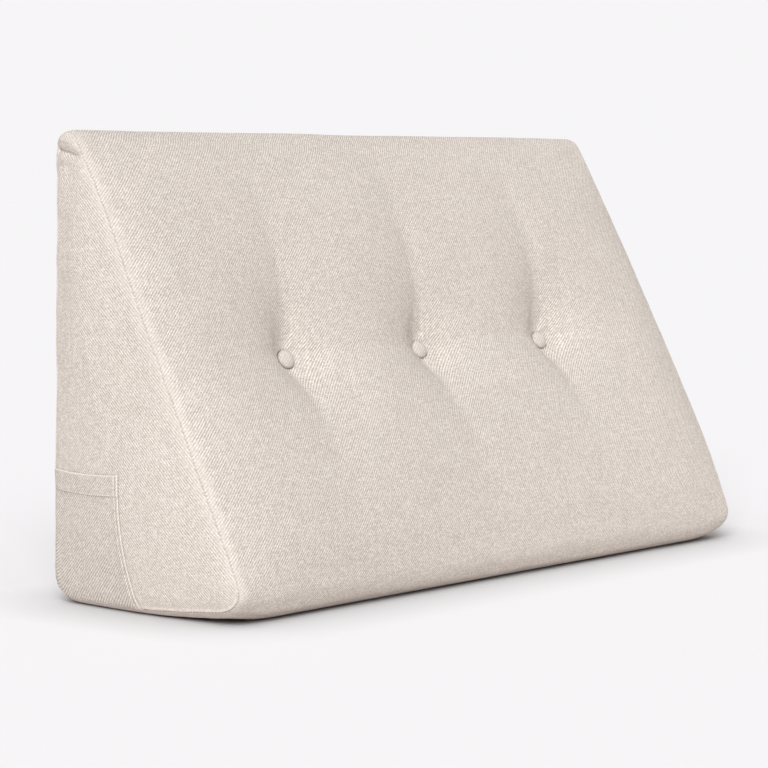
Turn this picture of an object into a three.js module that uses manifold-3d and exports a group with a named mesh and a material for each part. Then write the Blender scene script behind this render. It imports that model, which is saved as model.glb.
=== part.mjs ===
// Wedge reading pillow: one filled, upholstered wedge with a flat base, an upright back and a
// sloping front. Three covered buttons pull the front in, and a hemmed patch pocket is sewn to
// the low back corner of the left side. Millimetres, +Z up, width along X, front towards -Y.
import * as THREE from 'three';
import { mergeVertices } from 'three/addons/utils/BufferGeometryUtils.js';
import Module from 'manifold-3d';

const wasm = await Module();
wasm.setup();

// Size of the wedge before its side panels swell
const WIDTH = 882;
const DEPTH = 276;
const HEIGHT = 500;
const SIDE_CROWN = { swell: 14, fromSlope: 42, fromBack: 42, fromBase: 60 };

// Roundings of the wedge seen from the side, at mid-width and at the sewn ends
const TOP_RADIUS = 19;
const MIDDLE_RADIUS = { front: 32, back: 30 };
const END_RADIUS = { front: 31, back: 28 };
const END_REACH = 110;

// The turn into a side panel: its reach along X, low down and at the narrow top, and how far
// it draws each edge in by the time it faces sideways
const TURN_ALONG = { low: 17, top: 10, startsAt: 420 };
const TURN_INWARD = { slopeLow: 24, slopeTop: 14, backLow: 16, backTop: 9, base: 32 };
const SEAM_DEGREES = 35;
const TURN_DEGREES = [90, 72, 53, SEAM_DEGREES, 17];
const CORNER_TIGHTENS = 0.6;

// How the filled cover settles: the top corners draw in along X, the side panels bulge in plan
// low down, and the corners of the toe lift off the surface
const EARS = { drawnIn: 6, from: 280 };
const BOW = { out: 8, at: 40, reach: 150, from: 380, upTo: 260 };
const TOES = { lift: 8, from: 375, behind: -10, ahead: -125, upTo: 45 };

// The full front: its swell past the straight slope, and how far each button, the channels
// beside it and the valley along the button row draw it in
const FRONT_CROWN = { swell: 22, acrossPower: 12, alongPower: 5 };
const ROW_HEIGHT = 263;
const ROW_MIDDLE = -5;
const BUTTON_SPACING = 221;
const TUFT_PULLS = [{ depth: 25, reach: 55 }, { depth: 15, reach: 24 }];
const TUFT_SEAT = 9;
const CHANNELS = [
  { lean: 0.05, side: 1, depth: 7, reach: 95, spread: 16, startsBy: 12 },
  { lean: -0.1, side: -1, depth: 7, reach: 70, spread: 16, startsBy: 12 },
  { lean: 0.05, side: 1, depth: 8, reach: 110, spread: 50, startsBy: 40 },
  { lean: -0.1, side: -1, depth: 6, reach: 85, spread: 50, startsBy: 40 },
];
const VALLEY = { depth: 6, reach: 34, fadesFrom: 0.43, fadesBy: 0.86 };

// Covered buttons
const BUTTON = { radius: 11.25, rim: 3, dome: 4.5, sunk: 0.2, backEdge: 1 };
const BUTTONS = [
  { name: 'button_left', x: ROW_MIDDLE - BUTTON_SPACING },
  { name: 'button_middle', x: ROW_MIDDLE },
  { name: 'button_right', x: ROW_MIDDLE + BUTTON_SPACING },
];

// Patch pocket on the left side panel: its width from the back face, its top edge's height at
// the back and at the front and its sag between them, how far its lower front corner curves
// forward, and its hem band
const POCKET = { width: 117, topAtBack: 143, topAtFront: 144, sag: 2, flare: 22, hem: 23.5 };
const POCKET_STEPS = 8;
const POCKET_CLOTH = 1.7;
const HEM_CLOTH = 2.9;

// Clearance between pieces that are sewn together
const FIT = 0.3;

// Distances from a button at which the front has a row of points, fine near the button
const FINE_STEPS = [0, 8, 16, 25, 36, 50, 68, 90];

// Where else the filled form has points: as shares of the way along the slope below and above
// the button row, down the back, along the base, out to the ends and out from a panel's middle
const SHARES = {
  slopeBelow: [0, 0.17, 0.4, 0.7],
  slopeAbove: [0.3, 0.58, 0.8, 0.93, 1],
  back: [0.05, 0.12, 0.22, 0.36, 0.5, 0.65, 0.8, 0.92, 1],
  base: [0.12, 0.38, 0.62, 0.88, 1],
  ends: [0.82, 0.87, 0.92, 0.96, 1],
  panel: [0, 0.3, 0.52, 0.72, 0.88],
};
const CORNER_STEPS = { top: 7, back: 4, front: 5 };
const BUTTON_STEPS = { around: 24, dome: 6 };

const lerp = THREE.MathUtils.lerp;
const smooth = (from, to, value) => THREE.MathUtils.smoothstep(value, from, to);
const bell = (distance, reach) => Math.exp(-((distance / reach) ** 2));
const vec = (y, z) => new THREE.Vector2(y, z);

// A straight side of the outline in (y, z), with the direction that faces outwards
function sideLine(start, end) {
  const along = end.clone().sub(start).normalize();
  return { start, along, out: vec(-along.y, along.x) };
}

// Where the circle of a radius that touches two sides from within has its centre
function cornerCentre(a, b, radius) {
  const startA = a.start.clone().addScaledVector(a.out, -radius);
  const startB = b.start.clone().addScaledVector(b.out, -radius);
  const reach = startB.sub(startA).cross(b.along) / a.along.cross(b.along);
  return startA.addScaledVector(a.along, reach);
}

// The straight slope, found from the circles that round the front corner and the top
function straightSlope() {
  const top = vec(DEPTH / 2 - TOP_RADIUS, HEIGHT - TOP_RADIUS);
  const front = vec(-DEPTH / 2 + MIDDLE_RADIUS.front, MIDDLE_RADIUS.front);
  const link = top.sub(front);
  const swing = Math.acos((MIDDLE_RADIUS.front - TOP_RADIUS) / link.length());
  const out = vec(1, 0).rotateAround(vec(0, 0), link.angle() + swing);
  const rise = vec(out.y, -out.x);
  const touch = front.addScaledVector(out, MIDDLE_RADIUS.front);
  const at = (height) => touch.clone().addScaledVector(rise, (height - touch.y) / rise.y);
  return { out, rise, toe: at(0), head: at(HEIGHT), row: at(ROW_HEIGHT) };
}

const slope = straightSlope();

function mirroredSteps(steps) {
  const others = steps.filter((step) => step > 0);
  return [...others.map((step) => -step).reverse(), 0, ...others];
}

// Distances up from the button row at which the slope has points, from its foot to its head
function slopeSteps(foot, head) {
  const near = mirroredSteps(FINE_STEPS);
  const below = SHARES.slopeBelow.map((t) => lerp(foot, near[0], t));
  const above = SHARES.slopeAbove.map((t) => lerp(near[near.length - 1], head, t));
  return [...below, ...near, ...above];
}

// Points round a corner, from one side's direction to the next, without the first
function cornerPoints(centre, radius, from, to, steps) {
  const start = from.angle();
  const turn = ((start - to.angle()) + 2 * Math.PI) % (2 * Math.PI);
  return Array.from({ length: steps }, (_, i) => {
    const angle = start - (turn * (i + 1)) / steps;
    return { point: vec(radius, 0).rotateAround(vec(0, 0), angle).add(centre) };
  });
}

// Points along a straight side between two places, at fractions of the way
function straightPoints(from, to, fractions) {
  return fractions.map((t) => ({ point: from.clone().lerp(to, t) }));
}

// The three straight sides, drawn in by `inward`: 0 on the body, 1 on the side panel
function straightSides(inward) {
  const { slopeLow, slopeTop, backLow, backTop, base } = TURN_INWARD;
  return {
    slopeSide: sideLine(
      slope.toe.clone().addScaledVector(slope.out, -slopeLow * inward),
      slope.head.clone().addScaledVector(slope.out, -slopeTop * inward)),
    backSide: sideLine(
      vec(DEPTH / 2 - backTop * inward, HEIGHT), vec(DEPTH / 2 - backLow * inward, 0)),
    baseSide: sideLine(vec(DEPTH / 2, base * inward), vec(-DEPTH / 2, base * inward)),
  };
}

// The side outline: up the slope, over the top, down the back and along the base. `end` goes
// from 0 at mid-width to 1 at the sewn ends.
function sideOutline(inward, end) {
  const { slopeSide, backSide, baseSide } = straightSides(inward);
  const tighten = 1 - CORNER_TIGHTENS * inward;
  const frontRadius = lerp(MIDDLE_RADIUS.front, END_RADIUS.front, end) * tighten;
  const backRadius = lerp(MIDDLE_RADIUS.back, END_RADIUS.back, end) * tighten;
  const topRadius = TOP_RADIUS * tighten;
  const front = cornerCentre(baseSide, slopeSide, frontRadius);
  const top = cornerCentre(slopeSide, backSide, topRadius);
  const back = cornerCentre(backSide, baseSide, backRadius);
  const foot = front.clone().addScaledVector(slopeSide.out, frontRadius);
  const footUp = foot.clone().sub(slope.row).dot(slope.rise);
  const head = top.clone().addScaledVector(slopeSide.out, topRadius);
  const headUp = head.clone().sub(slope.row).dot(slope.rise);
  const slopePoints = slopeSteps(footUp, headUp).map((up) => ({
    point: foot.clone().lerp(head, (up - footUp) / (headUp - footUp)),
    front: { up, share: up > 0 ? up / headUp : up / footUp },
  }));
  const backHead = top.clone().addScaledVector(backSide.out, topRadius);
  const backFoot = back.clone().addScaledVector(backSide.out, backRadius);
  const baseBack = back.clone().addScaledVector(baseSide.out, backRadius);
  const baseFront = front.clone().addScaledVector(baseSide.out, frontRadius);
  return [
    ...slopePoints,
    ...cornerPoints(top, topRadius, slopeSide.out, backSide.out, CORNER_STEPS.top),
    ...straightPoints(backHead, backFoot, SHARES.back),
    ...cornerPoints(back, backRadius, backSide.out, baseSide.out, CORNER_STEPS.back),
    ...straightPoints(baseBack, baseFront, SHARES.base),
    ...cornerPoints(front, frontRadius, baseSide.out, slopeSide.out, CORNER_STEPS.front)
      .slice(0, -1),
  ];
}

// Places along the width where the body has a ring, fine on both sides of each button
function bodyStations() {
  const limit = WIDTH / 2 - TURN_ALONG.low;
  const steps = mirroredSteps([...FINE_STEPS, BUTTON_SPACING / 2]);
  const nearButtons = BUTTONS.flatMap((button) => steps.map((step) => button.x + step));
  const nearEnds = SHARES.ends.flatMap((share) => [-limit * share, limit * share]);
  return [...new Set([...nearButtons, ...nearEnds])].sort((a, b) => a - b);
}

// Closed rings from the middle of the left side panel to the middle of the right one
function ringPlan() {
  const panel = SHARES.panel.map((scale) => ({ along: 0, inward: 1, scale }));
  const turn = TURN_DEGREES.map((degrees) => {
    const angle = THREE.MathUtils.degToRad(degrees);
    return { along: 1 - Math.sin(angle), inward: 1 - Math.cos(angle), scale: 1 };
  });
  const left = [...panel, ...turn].map((ring) => ({ ...ring, side: -1, end: 1 }));
  const right = left.map((ring) => ({ ...ring, side: 1 })).reverse();
  const limit = WIDTH / 2 - TURN_ALONG.low;
  const middle = bodyStations().map((x) => ({
    x, inward: 0, scale: 1, side: 0, end: smooth(limit - END_REACH, limit, Math.abs(x)),
  }));
  return [...left, ...middle, ...right];
}

// Depth of one button's dimple and its two channels, at a distance across and up from it
function tuftDepth(across, up) {
  const distance = Math.max(Math.hypot(across, up) - TUFT_SEAT, 0);
  const pulls = TUFT_PULLS.map(({ depth, reach }) => depth * Math.exp(-distance / reach));
  const channels = CHANNELS.map((channel) => {
    const reach = Math.max(channel.side * up, 0);
    const aside = across - channel.lean * reach;
    const fade = smooth(0, channel.startsBy, reach) * Math.exp(-reach / channel.reach);
    return channel.depth * bell(aside, channel.spread) * fade;
  });
  return [...pulls, ...channels].reduce((sum, depth) => sum + depth);
}

// How far the front lies outside the straight slope, at x and at a point up from the row
function frontRelief(x, { up, share }) {
  const { swell, acrossPower, alongPower } = FRONT_CROWN;
  const out = Math.min(Math.abs((2 * x) / WIDTH), 1);
  const crown = swell * (1 - out ** acrossPower) * (1 - Math.min(share, 1) ** alongPower);
  const valleyFade = 1 - smooth(VALLEY.fadesFrom, VALLEY.fadesBy, out);
  const valley = VALLEY.depth * Math.exp(-Math.abs(up) / VALLEY.reach) * valleyFade;
  const tufts = BUTTONS.map((button) => tuftDepth(x - button.x, up));
  return tufts.reduce((relief, depth) => relief - depth, crown - valley);
}

// The middle of the triangle that a side panel makes
const PANEL_MIDDLE = vec(DEPTH / 6, HEIGHT / 3);
const panelSides = straightSides(1);

// How far a side panel swells at a point: full in the middle, nothing at its three edges
function sideSwell(point) {
  const { swell, fromSlope, fromBack, fromBase } = SIDE_CROWN;
  const rise = (side, reach) => {
    const inside = side.start.clone().sub(point).dot(side.out);
    return 1 - Math.exp(-Math.max(inside, 0) / reach);
  };
  return swell * rise(panelSides.slopeSide, fromSlope) * rise(panelSides.backSide, fromBack)
    * rise(panelSides.baseSide, fromBase);
}

// Where a point of the ruled wedge comes to rest in the filled cover
function settled({ x, y, z }) {
  const out = Math.abs(x);
  const narrowing = 1 - (EARS.drawnIn / WIDTH) * 2 * smooth(EARS.from, HEIGHT, z);
  const low = 1 - smooth(0, BOW.upTo, z);
  const bow = BOW.out * (1 - ((y - BOW.at) / BOW.reach) ** 2) * smooth(BOW.from, WIDTH / 2, out);
  const corner = smooth(TOES.from, WIDTH / 2, out) * (1 - smooth(TOES.ahead, TOES.behind, y));
  const lift = TOES.lift * corner * (1 - smooth(0, TOES.upTo, z));
  return new THREE.Vector3(Math.sign(x) * (out * narrowing + bow * low), y, z + lift);
}

// Points of the filled form round one ring
function ringPoints(ring) {
  return sideOutline(ring.inward, ring.end).map(({ point, front }) => {
    const along = lerp(TURN_ALONG.low, TURN_ALONG.top,
      smooth(TURN_ALONG.startsAt, HEIGHT - TOP_RADIUS, point.y));
    point.sub(PANEL_MIDDLE).multiplyScalar(ring.scale).add(PANEL_MIDDLE);
    const panel = WIDTH / 2 - along * ring.along + sideSwell(point) * ring.inward;
    const x = ring.side === 0 ? ring.x : ring.side * panel;
    if (front && ring.scale === 1) {
      point.addScaledVector(slope.out, frontRelief(x, front) * (1 - ring.inward));
    }
    return settled({ x, y: point.x, z: point.y });
  });
}

// The filled form as one closed skin: a sphere's rings and points, moved to the wedge
function cushionForm() {
  const rings = ringPlan().map(ringPoints);
  const around = rings[0].length;
  const geometry = new THREE.SphereGeometry(1, around, rings.length - 1);
  rings.forEach((points, row) => {
    for (let column = 0; column <= around; column += 1) {
      const { x, y, z } = points[column % around];
      geometry.attributes.position.setXYZ(row * (around + 1) + column, x, y, z);
    }
  });
  return sharedVertices(geometry);
}

// The same faces with shared corners, which is what joining and cutting needs
function sharedVertices(geometry) {
  geometry.deleteAttribute('normal');
  geometry.deleteAttribute('uv');
  return mergeVertices(geometry, 1e-4);
}

// A copy of a skin, moved outwards everywhere by the same amount
function lifted(geometry, amount) {
  const copy = geometry.clone();
  copy.computeVertexNormals();
  const { position, normal } = copy.attributes;
  for (let i = 0; i < position.count; i += 1) {
    const outward = new THREE.Vector3().fromBufferAttribute(normal, i);
    const point = new THREE.Vector3().fromBufferAttribute(position, i);
    point.addScaledVector(outward, amount);
    position.setXYZ(i, point.x, point.y, point.z);
  }
  copy.deleteAttribute('normal');
  return copy;
}

function toSolid(geometry) {
  return new wasm.Manifold(new wasm.Mesh({
    numProp: 3,
    vertProperties: new Float32Array(geometry.attributes.position.array),
    triVerts: new Uint32Array(geometry.index.array),
  }));
}

function toGeometry(solid) {
  const mesh = solid.getMesh();
  const geometry = new THREE.BufferGeometry();
  geometry.setAttribute('position', new THREE.BufferAttribute(mesh.vertProperties, 3));
  geometry.setIndex(new THREE.BufferAttribute(mesh.triVerts, 1));
  geometry.computeVertexNormals();
  return geometry;
}

// A covered button's profile: flat back, short rim and low dome, grown on every side by `grow`
function buttonProfile(grow) {
  const radius = BUTTON.radius + grow;
  const steps = BUTTON_STEPS.dome;
  const dome = Array.from({ length: steps + 1 }, (_, step) => {
    const angle = (step / steps) * (Math.PI / 2);
    const height = BUTTON.rim + (BUTTON.dome + grow) * Math.sin(angle);
    return vec(step === steps ? 0 : radius * Math.cos(angle), height);
  });
  return [vec(0, -grow), vec(radius - BUTTON.backEdge, -grow), ...dome];
}

// A button on the floor of its dimple, square to the slope
function buttonBody(x, grow) {
  const seat = slope.row.clone();
  seat.addScaledVector(slope.out, frontRelief(x, { up: 0, share: 0 }) - BUTTON.sunk);
  const outward = new THREE.Vector3(0, slope.out.x, slope.out.y);
  const geometry = new THREE.LatheGeometry(buttonProfile(grow), BUTTON_STEPS.around);
  geometry.applyQuaternion(
    new THREE.Quaternion().setFromUnitVectors(new THREE.Vector3(0, 1, 0), outward));
  geometry.translate(x, seat.x, seat.y);
  return sharedVertices(geometry);
}

// A prism along X through the left side panel, from an outline in (y, z)
function sidePrism(points) {
  const depth = 2 * (TURN_ALONG.low + SIDE_CROWN.swell + BOW.out);
  const geometry = new THREE.ExtrudeGeometry(
    new THREE.Shape(points), { depth, bevelEnabled: false });
  const turn = new THREE.Matrix4().makeBasis(
    new THREE.Vector3(0, 1, 0), new THREE.Vector3(0, 0, 1), new THREE.Vector3(1, 0, 0));
  turn.setPosition(-WIDTH / 2 - depth / 2, 0, 0);
  return toSolid(sharedVertices(geometry.applyMatrix4(turn)));
}

// The seam round the side panel lies partway round the turn, and the pocket is sewn into it
const SEAM_SHARE = 1 - Math.cos(THREE.MathUtils.degToRad(SEAM_DEGREES));

function seamPrism() {
  return sidePrism(sideOutline(SEAM_SHARE, 1).map(({ point }) => point));
}

// The pocket's top edge from the back to the front, lowered by `drop`
function pocketTop(drop) {
  return Array.from({ length: POCKET_STEPS + 1 }, (_, step) => {
    const t = step / POCKET_STEPS;
    const sag = POCKET.sag * 4 * t * (1 - t);
    const height = lerp(POCKET.topAtBack, POCKET.topAtFront, t) - sag - drop;
    return vec(DEPTH / 2 - POCKET.width * t, height);
  });
}

// The pocket's front edge, from its top to its foot, between two heights
function pocketFront(high, low) {
  return Array.from({ length: POCKET_STEPS + 1 }, (_, step) => {
    const height = lerp(high, low, step / POCKET_STEPS);
    const forward = POCKET.flare * (1 - height / POCKET.topAtFront) ** 2;
    return vec(DEPTH / 2 - POCKET.width - forward, height);
  });
}

// The pocket reaches past the back and the base, where the seam cuts it off
function pocketOutline() {
  return [...pocketTop(0), ...pocketFront(POCKET.topAtFront, 0).slice(1), vec(DEPTH / 2, 0)];
}

function hemOutline() {
  const foot = POCKET.topAtFront - POCKET.hem;
  return [...pocketTop(0), ...pocketFront(POCKET.topAtFront, foot).slice(1, -1),
    ...pocketTop(POCKET.hem).reverse()];
}

// The pocket follows the side panel's swell: one layer of cloth with a doubled hem
function pocketGeometry(form) {
  const inner = toSolid(lifted(form, FIT));
  const layer = (thickness) => toSolid(lifted(form, FIT + thickness)).subtract(inner);
  const patch = layer(POCKET_CLOTH).intersect(sidePrism(pocketOutline()));
  const hem = layer(HEM_CLOTH).intersect(sidePrism(hemOutline()));
  return toGeometry(patch.add(hem).intersect(seamPrism()));
}

// The filled form with a seat pressed in for each button
function cushionGeometry(form) {
  const seats = BUTTONS.map((button) => toSolid(buttonBody(button.x, FIT)));
  return toGeometry(seats.reduce((solid, seat) => solid.subtract(seat), toSolid(form)));
}

function clothMesh(name, geometry, color) {
  const material = new THREE.MeshStandardMaterial({ color, roughness: 0.95, metalness: 0 });
  const mesh = new THREE.Mesh(geometry, material);
  mesh.name = name;
  return mesh;
}

const form = cushionForm();
const group = new THREE.Group();
group.add(clothMesh('cushion', cushionGeometry(form), 0xdcd2c8));
group.add(clothMesh('pocket', pocketGeometry(form), 0xdfd6cd));
BUTTONS.forEach(({ name, x }) => group.add(clothMesh(name, buttonBody(x, 0), 0xe2dacf)));

// The origin is the middle of the base, under the bounding box's centre
const box = new THREE.Box3().setFromObject(group);
const centre = box.getCenter(new THREE.Vector3());
group.position.set(-centre.x, -centre.y, -box.min.z);

export default group;
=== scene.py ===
import math
from collections import Counter

import bmesh
import bpy
import numpy as np
from mathutils import Matrix, Vector, noise
from mathutils.bvhtree import BVHTree
from mathutils.kdtree import KDTree


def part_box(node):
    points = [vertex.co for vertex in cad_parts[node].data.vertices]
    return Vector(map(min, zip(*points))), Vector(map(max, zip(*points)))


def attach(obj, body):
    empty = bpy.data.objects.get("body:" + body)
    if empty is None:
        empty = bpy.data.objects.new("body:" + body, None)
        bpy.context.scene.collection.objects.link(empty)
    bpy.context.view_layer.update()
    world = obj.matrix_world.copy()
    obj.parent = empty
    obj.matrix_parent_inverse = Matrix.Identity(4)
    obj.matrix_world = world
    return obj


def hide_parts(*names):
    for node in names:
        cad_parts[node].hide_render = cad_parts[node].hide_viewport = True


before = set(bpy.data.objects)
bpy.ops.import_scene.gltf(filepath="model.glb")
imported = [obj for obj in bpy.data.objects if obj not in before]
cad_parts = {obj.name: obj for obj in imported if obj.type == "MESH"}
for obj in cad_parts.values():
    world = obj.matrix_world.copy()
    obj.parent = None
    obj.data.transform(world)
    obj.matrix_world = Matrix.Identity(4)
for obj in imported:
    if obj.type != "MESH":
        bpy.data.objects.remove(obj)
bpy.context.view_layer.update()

# Wedge reading pillow in metres: X runs along its width, the sloping front faces -Y, +Z is up.
# The filled wedge is one padded piece. The pocket and the three covered buttons lie on it.
MM = 0.001

# Points closer than this are one point
SAME_PLACE = 0.01 * MM

# The wedge seen from the side: three straight sides joined by round corners
WEDGE_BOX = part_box("cushion")
BACK = WEDGE_BOX[1].y
TOP = WEDGE_BOX[1].z
MIDDLE = (WEDGE_BOX[0].x + WEDGE_BOX[1].x) / 2
DEPTH = 276 * MM
HALF_WIDTH = 441 * MM
TOP_RADIUS = 19 * MM
FRONT_RADIUS = 32 * MM
BACK_RADIUS = 30 * MM

# Where the seam round each side panel runs up the back: out from the middle, in from the back
SEAM_OUT = 433.8 * MM
SEAM_IN = 2.3 * MM

# The base panel's two seams: the radius and the angle in degrees that each has at its corner
BASE_SEAMS = {"front": (FRONT_RADIUS, 246.4), "back": (BACK_RADIUS, 315)}

# Panels of the cover
WRAP, LEFT_SIDE, RIGHT_SIDE, BASE = 1, 2, 3, 4
SIDE_PANELS = (LEFT_SIDE, RIGHT_SIDE)

# One yarn of the twill is this wide, and its rib repeats every four yarns
YARN = 0.91 * MM


def across(y, z):
    """A place or direction in the YZ plane."""
    return np.array([y, z])


def side_view():
    """The round corners' centres, and the slope's direction, outward direction and ends."""
    top = across(BACK - TOP_RADIUS, TOP - TOP_RADIUS)
    front = across(BACK - DEPTH + FRONT_RADIUS, FRONT_RADIUS)
    span = top - front
    swing = math.acos((FRONT_RADIUS - TOP_RADIUS) / np.hypot(*span))
    angle = math.atan2(span[1], span[0]) + swing
    out = across(math.cos(angle), math.sin(angle))
    rise = across(out[1], -out[0])
    return {"top": top, "front": front, "back": across(BACK - BACK_RADIUS, BACK_RADIUS),
            "angle": angle, "out": out, "rise": rise,
            "foot": front + out * FRONT_RADIUS, "head": top + out * TOP_RADIUS}


SIDE = side_view()
SLOPE_OUT = Vector((0, *SIDE["out"]))
OUT, RISE = np.array(SLOPE_OUT), np.array(Vector((0, *SIDE["rise"])))


def read(items, key, parts=1, kind=float):
    """One property of all items as an array."""
    values = np.empty(len(items) * parts, dtype=kind)
    items.foreach_get(key, values)
    return values.reshape(-1, parts) if parts > 1 else values


def points_of(mesh):
    return read(mesh.vertices, "co", 3)


# The back of a button is flat to within this
FLAT = 0.1 * MM


def button_seat(name):
    """Middle of a button's flat back."""
    points = np.unique(points_of(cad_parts[name].data).round(6), axis=0)
    height = points @ OUT
    back = points[height < height.min() + FLAT]
    return Vector((back.min(axis=0) + back.max(axis=0)) / 2)


BUTTONS = {name: button_seat(name) for name in ("button_left", "button_middle", "button_right")}
ROW = across(BUTTONS["button_left"].y, BUTTONS["button_left"].z)
ROW_UP = float((ROW - SIDE["foot"]) @ SIDE["rise"])


def smooth_step(low, high, value):
    """0 at low and 1 at high, with a soft run between. Low may be the larger."""
    t = np.clip((value - low) / (high - low), 0, 1)
    return t * t * (3 - 2 * t)


def bell(value, middle, reach):
    """1 at the middle, a third at the reach to either side and soon nothing."""
    return np.exp(-(((value - middle) / reach) ** 2))


def link(obj):
    bpy.context.scene.collection.objects.link(obj)
    return obj


def bmesh_of(mesh):
    bm = bmesh.new()
    bm.from_mesh(mesh)
    bm.verts.ensure_lookup_table()
    return bm


def mesh_object(name, bm):
    """A new object from a bmesh, smooth shaded."""
    mesh = bpy.data.meshes.new(name)
    bm.to_mesh(mesh)
    bm.free()
    mesh.shade_smooth()
    return link(bpy.data.objects.new(name, mesh))


def normals_of(mesh):
    return read(mesh.vertex_normals, "vector", 3)


def set_points(mesh, points):
    mesh.vertices.foreach_set("co", np.ascontiguousarray(points).ravel())
    mesh.update()


def set_all(owner, settings):
    for key, value in settings.items():
        setattr(owner, key, value)


# The filled wedge

# Each button's seat is cut out this far from its axis, and closed by rings this wide
SEAT_CUT = 15 * MM
SEAT_RING = 3.5 * MM
SEAT_RINGS = 3


def quads_from_solid(node):
    """The solid's faces again as joined quads."""
    bm = bmesh_of(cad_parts[node].data)
    bmesh.ops.remove_doubles(bm, verts=bm.verts, dist=SAME_PLACE)
    bmesh.ops.join_triangles(
        bm, faces=bm.faces, angle_face_threshold=math.radians(60),
        angle_shape_threshold=math.pi, topology_influence=1.0)
    return bm


def off_axis(point, seat):
    """A point's distance from the axis of the button on that seat."""
    way = point - seat
    return (way - SLOPE_OUT * way.dot(SLOPE_OUT)).length


def fill_seats(bm):
    """Takes the sharp button seats out and closes each hole with rings of cloth."""
    for seat in BUTTONS.values():
        near = [v for v in bm.verts if (v.co - seat).length < 3 * SEAT_CUT]
        inner = [v for v in near if off_axis(v.co, seat) < SEAT_CUT]
        bmesh.ops.delete(bm, geom=inner, context="VERTS")
        rim = [e for e in bm.edges if e.is_boundary]
        face = bmesh.ops.contextual_create(bm, geom=rim)["faces"][0]
        if face.normal.dot(SLOPE_OUT) < 0:
            face.normal_flip()
        for _ in range(SEAT_RINGS):
            bmesh.ops.inset_individual(bm, faces=[face], thickness=SEAT_RING, depth=0)


def run_of_edges(start, way, is_end):
    """Edges from a vertex straight on, until a vertex where the run ends."""
    vert, found = start, []
    while True:
        others = [e for e in vert.link_edges if e not in found[-1:]]
        edge = max(others, key=lambda e: (e.other_vert(vert).co - vert.co).normalized().dot(way))
        found.append(edge)
        vert, last = edge.other_vert(vert), vert
        way = (vert.co - last.co).normalized()
        if is_end(vert):
            return found


def nearest_vert(bm, place):
    return min(bm.verts, key=lambda v: (v.co - place).length_squared)


def ring_seam(bm, side):
    """The closed seam round a side panel, walked up the back and over the top."""
    start = nearest_vert(bm, Vector((MIDDLE + side * SEAM_OUT, BACK - SEAM_IN, TOP / 2)))
    return run_of_edges(start, Vector((0, 0, 1)), lambda vert: vert == start)


def base_seam(bm, corner, ring_verts):
    """The seam of the base panel along X, from one ring to the other."""
    radius, degrees = BASE_SEAMS[corner]
    turn = math.radians(degrees)
    place = SIDE[corner] + radius * across(math.cos(turn), math.sin(turn))
    start = nearest_vert(bm, Vector((MIDDLE, *place)))
    return [edge for way in (-1, 1)
            for edge in run_of_edges(start, Vector((way, 0, 0)), lambda v: v in ring_verts)]


def cover_seams(bm):
    rings = [ring_seam(bm, -1), ring_seam(bm, 1)]
    ring_verts = {v for ring in rings for e in ring for v in e.verts}
    return rings + [base_seam(bm, corner, ring_verts) for corner in BASE_SEAMS]


# Places whose nearest face is on each panel
PANEL_SEEDS = {LEFT_SIDE: Vector((-1, 0.05, 0.2)), RIGHT_SIDE: Vector((1, 0.05, 0.2)),
               BASE: Vector((0, 0, -1)), WRAP: Vector((0, 1, 0.3))}


def mark_panels(bm, panel, seams):
    """Names each face's panel by flooding the faces between seams."""
    walls = {e for seam in seams for e in seam}
    for name, place in PANEL_SEEDS.items():
        start = min(bm.faces, key=lambda f: (f.calc_center_median() - place).length)
        start[panel] = name
        queue = [start]
        while queue:
            face = queue.pop()
            for edge in face.edges:
                if edge in walls:
                    continue
                for other in edge.link_faces:
                    if other[panel] == 0:
                        other[panel] = name
                        queue.append(other)


# Levels at which each side panel gets extra edges, so that the pinch under its top is crisp,
# and how close to a level a point is taken as on it
PINCH_HEIGHT = 478 * MM
PINCH_CUTS = [PINCH_HEIGHT + above * MM for above in (6, 0, -6, -14)]
CUT_SNAP = 0.3 * MM


def cut_side_panels(bm, panel):
    for height in PINCH_CUTS:
        faces = [f for f in bm.faces if f[panel] in SIDE_PANELS]
        edges = {e for f in faces for e in f.edges}
        verts = {v for f in faces for v in f.verts}
        bmesh.ops.bisect_plane(
            bm, geom=[*verts, *edges, *faces], dist=CUT_SNAP,
            plane_co=Vector((0, 0, height)), plane_no=Vector((0, 0, 1)))


def made_real(obj, kind, **settings):
    """The mesh as a modifier shapes it. Groups and attributes follow it."""
    set_all(obj.modifiers.new("Shape", kind), settings)
    depsgraph = bpy.context.evaluated_depsgraph_get()
    mesh = bpy.data.meshes.new_from_object(
        obj.evaluated_get(depsgraph), preserve_all_data_layers=True, depsgraph=depsgraph)
    obj.modifiers.clear()
    obj.data = mesh
    mesh.shade_smooth()
    return mesh


def weights(obj, name):
    """A vertex group's weights as an array."""
    index = obj.vertex_groups[name].index
    return np.array([next((g.weight for g in v.groups if g.group == index), 0.0)
                     for v in obj.data.vertices])


def seam_points(obj):
    """Whether each point lies on a seam."""
    return weights(obj, "seam") > 0.99


def set_weights(obj, name, values):
    group = obj.vertex_groups.new(name=name)
    for index, value in enumerate(values):
        if value > 0:
            group.add([index], float(value), "REPLACE")


def off_buttons(points):
    """Distance of each point from the axis of its nearest button, and the way there."""
    found = []
    for seat in BUTTONS.values():
        way = points - np.array(seat)
        found.append(way - np.outer(way @ OUT, OUT))
    ways = np.array(found)
    lengths = np.linalg.norm(ways, axis=2)
    nearest = lengths.argmin(axis=0)
    return lengths.min(axis=0), ways[nearest, np.arange(len(points))]


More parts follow.
